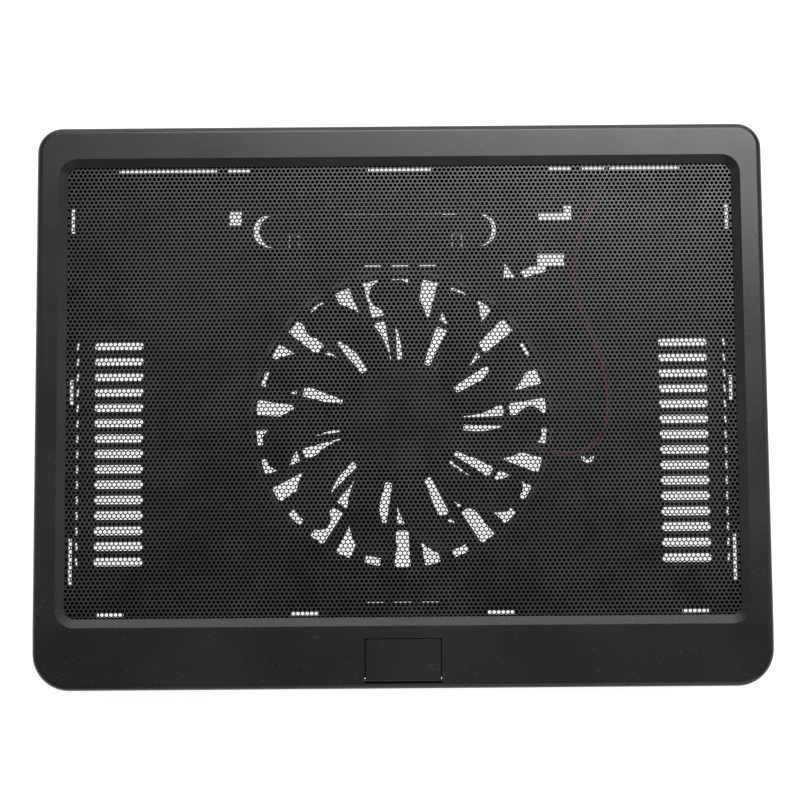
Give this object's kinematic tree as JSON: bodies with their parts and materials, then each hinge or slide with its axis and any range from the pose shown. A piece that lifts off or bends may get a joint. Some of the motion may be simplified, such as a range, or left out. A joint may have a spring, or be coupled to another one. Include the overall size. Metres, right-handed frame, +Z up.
{
  "type": "laptop cooling pad",
  "caption": "Flat black laptop cooling pad with a large central fan under a perforated steel sheet, a flip-up front stopper and a folding rear leg.",
  "frame": {"origin": "centre of the footprint on the table, under the feet", "axes": "+X to the right, +Y towards the rear edge, +Z up"},
  "size_m": [0.35, 0.27, 0.026],
  "materials": {
    "casing_black": "semi-gloss moulded, fine dust",
    "mesh_paint": "satin black powder coat",
    "pan_black": "satin moulded",
    "fan_black": "satin moulded",
    "foot_rubber": "matte",
    "screw_steel": "black zinc",
    "pin_steel": "ground",
    "shell_steel": "tin plated",
    "tube_brass": "turned",
    "bearing_bronze": "sintered",
    "nylon": "natural",
    "core_steel": "rolled",
    "coil_copper": "enamelled copper",
    "board_green": "solder mask",
    "chip_black": "moulded epoxy",
    "wire_red": "PVC",
    "wire_black": "PVC",
    "contact_gold": "gold plated",
    "ferrite": "pressed ferrite"
  },
  "bodies": {
    "base": {"top_frame": "casing_black", "mesh_panel": "mesh_paint", "base_pan": "pan_black", "front_feet": "foot_rubber", "rear_feet": "foot_rubber", "casing_screws": "screw_steel", "stopper_pin": "pin_steel", "bearing_tube": "tube_brass", "bearing_sleeve": "bearing_bronze", "thrust_pad": "nylon", "stator_core": "core_steel", "stator_coils": "coil_copper", "motor_board": "board_green", "hall_sensor": "chip_black", "motor_lead_red": "wire_red", "motor_lead_black": "wire_black", "socket_board": "board_green", "usb_shell": "shell_steel", "usb_contact_block": "chip_black", "usb_contacts": "contact_gold", "board_screws": "screw_steel"},
    "rotor": {"fan_impeller": "fan_black", "rotor_yoke": "core_steel", "rotor_magnet": "ferrite", "rotor_shaft": "pin_steel", "shaft_clip": "nylon"},
    "stopper": {"front_stopper": "casing_black"},
    "leg": {"tilt_leg": "pan_black", "leg_grip": "foot_rubber", "leg_pins": "pin_steel"}
  },
  "joints": [
    {"name": "fan_spin", "type": "hinge", "parent": "base", "child": "rotor", "pos_m": [0, -0.007, 0.012], "axis": [0, 0, 1], "continuous": true},
    {"name": "stopper_flip", "type": "hinge", "parent": "base", "child": "stopper", "pos_m": [0, -0.1304, 0.02304], "axis": [1, 0, 0], "range_deg": [0, 95]},
    {"name": "leg_fold", "type": "hinge", "parent": "base", "child": "leg", "pos_m": [0, 0.0822, 0.0053], "axis": [-1, 0, 0], "range_deg": [0, 95]}
  ]
}
